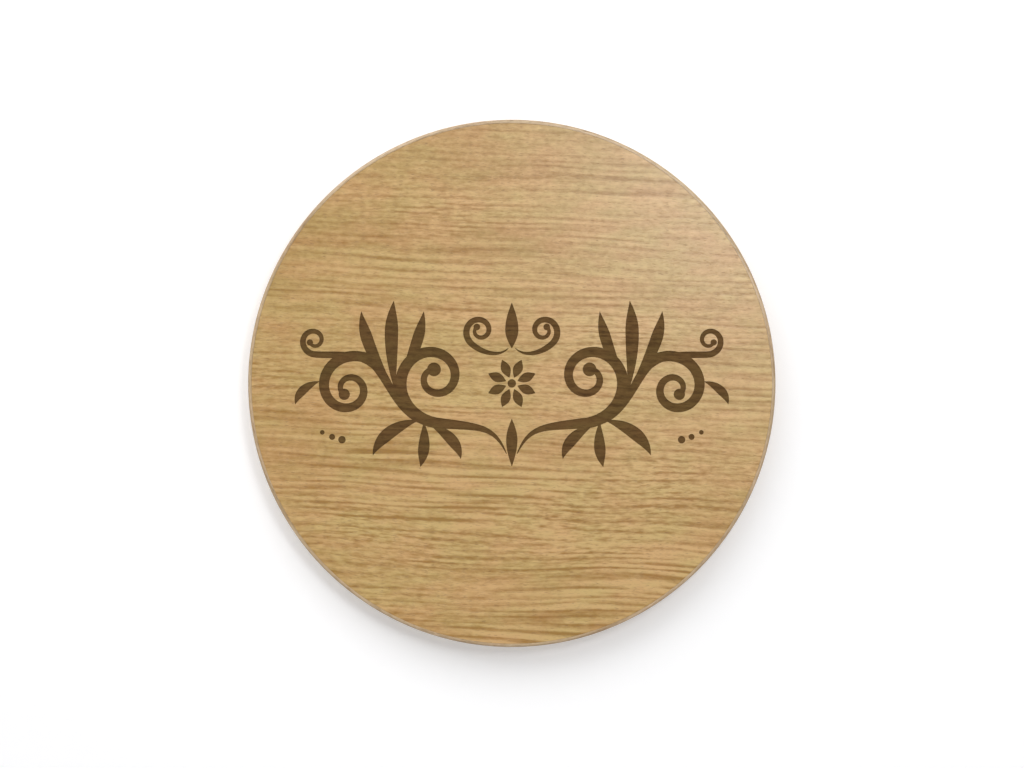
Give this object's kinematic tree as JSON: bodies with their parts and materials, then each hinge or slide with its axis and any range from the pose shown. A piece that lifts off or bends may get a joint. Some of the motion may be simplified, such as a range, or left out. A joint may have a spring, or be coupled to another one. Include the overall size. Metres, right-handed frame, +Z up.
{
  "type": "round wall plaque",
  "caption": "Round oak-veneered wall plaque with an edge band, a shallow engraved ornament and a keyhole hanger let into the back.",
  "frame": {"origin": "where the axis of the screw in the wall meets the wall's surface; the felt pads' faces lie in that plane, and the hanging point is on the plaque's upright centreline", "axes": "+X to the right as the face is seen, +Y into the wall, +Z up; the face looks along -Y"},
  "size_m": [0.3, 0.0194, 0.3],
  "materials": {
    "oak_face": "oak veneer under satin lacquer, level grain, with a dark brown burnt ornament",
    "oak_back": "plain oak backing veneer, sanded and thinly sealed",
    "oak_edge": "oak edge band with rounded corners, satin lacquer",
    "fibreboard": "bare routed medium-density fibreboard",
    "zinc_plate": "stamped steel with bright zinc plating",
    "screw_steel": "zinc-plated steel, faintly yellow",
    "felt": "dense brown pressed felt"
  },
  "bodies": {
    "root": {"face_veneer": "oak_face", "core_panel": "fibreboard", "back_veneer": "oak_back", "edge_band": "oak_edge", "keyhole_plate": "zinc_plate", "plate_screw_upper": "screw_steel", "plate_screw_lower": "screw_steel", "felt_pad_upper_right": "felt", "felt_pad_upper_left": "felt", "felt_pad_lower_left": "felt", "felt_pad_lower_right": "felt"}
  },
  "joints": []
}
